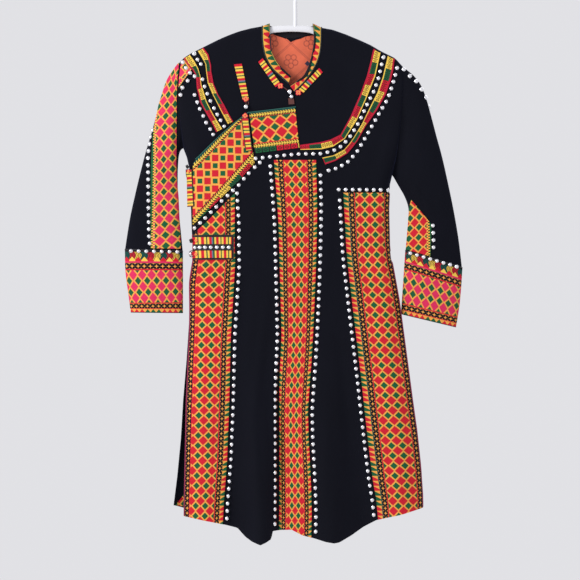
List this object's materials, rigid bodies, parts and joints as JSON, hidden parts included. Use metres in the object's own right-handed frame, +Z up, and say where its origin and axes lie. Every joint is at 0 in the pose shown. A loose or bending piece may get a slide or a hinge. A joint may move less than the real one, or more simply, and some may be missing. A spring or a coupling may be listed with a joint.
{
  "type": "wedding tunic on a hanger",
  "caption": "Dark velveteen wedding tunic with a stand collar, side-closing front, brocade bands and rows of metal studs, hung on a white moulded hanger.",
  "frame": {"origin": "inside top of the hanger's hook, where it hangs on a rail", "axes": "+Z up, front of the garment faces -Y, +X to the viewer's right"},
  "size_m": [0.7113, 0.0874, 1.2024],
  "materials": {
    "velveteen": "matte",
    "brocade": "satin",
    "ribbon": "satin",
    "stripe": "satin",
    "lining": "satin",
    "studs": "polished",
    "buttons": "polished",
    "knot": "satin",
    "hanger": "smooth"
  },
  "bodies": {
    "root": {"back": "velveteen", "band_centre": "brocade", "band_left": "brocade", "band_right": "brocade", "button_chest": "buttons", "button_neck": "buttons", "button_waist": "buttons", "chest_tab_lower": "stripe", "chest_tab_upper": "stripe", "collar": "brocade", "collar_tab_left": "stripe", "collar_tab_right": "stripe", "cuff_left": "brocade", "cuff_right": "brocade", "flap_a": "brocade", "flap_b": "brocade", "front_main": "velveteen", "front_under": "velveteen", "hanger": "hanger", "knot_waist": "knot", "neck_lining": "lining", "side_tab": "stripe", "sleeve_band_left": "brocade", "sleeve_band_right": "brocade", "sleeve_left": "velveteen", "sleeve_right": "velveteen", "studs_band_left": "studs", "studs_band_right": "studs", "studs_band_right_top": "studs", "studs_centre_left": "studs", "studs_centre_right": "studs", "studs_cuff_left": "studs", "studs_cuff_right": "studs", "studs_flap_b": "studs", "studs_sleeve_left": "studs", "studs_sleeve_right": "studs", "studs_yoke_left": "studs", "studs_yoke_left_outer": "studs", "studs_yoke_right": "studs", "studs_yoke_right_outer": "studs", "waist_tab_lower": "stripe", "waist_tab_upper": "stripe", "yoke_left_inner": "ribbon", "yoke_left_outer": "ribbon", "yoke_right_inner": "ribbon", "yoke_right_outer": "ribbon"}
  },
  "joints": []
}
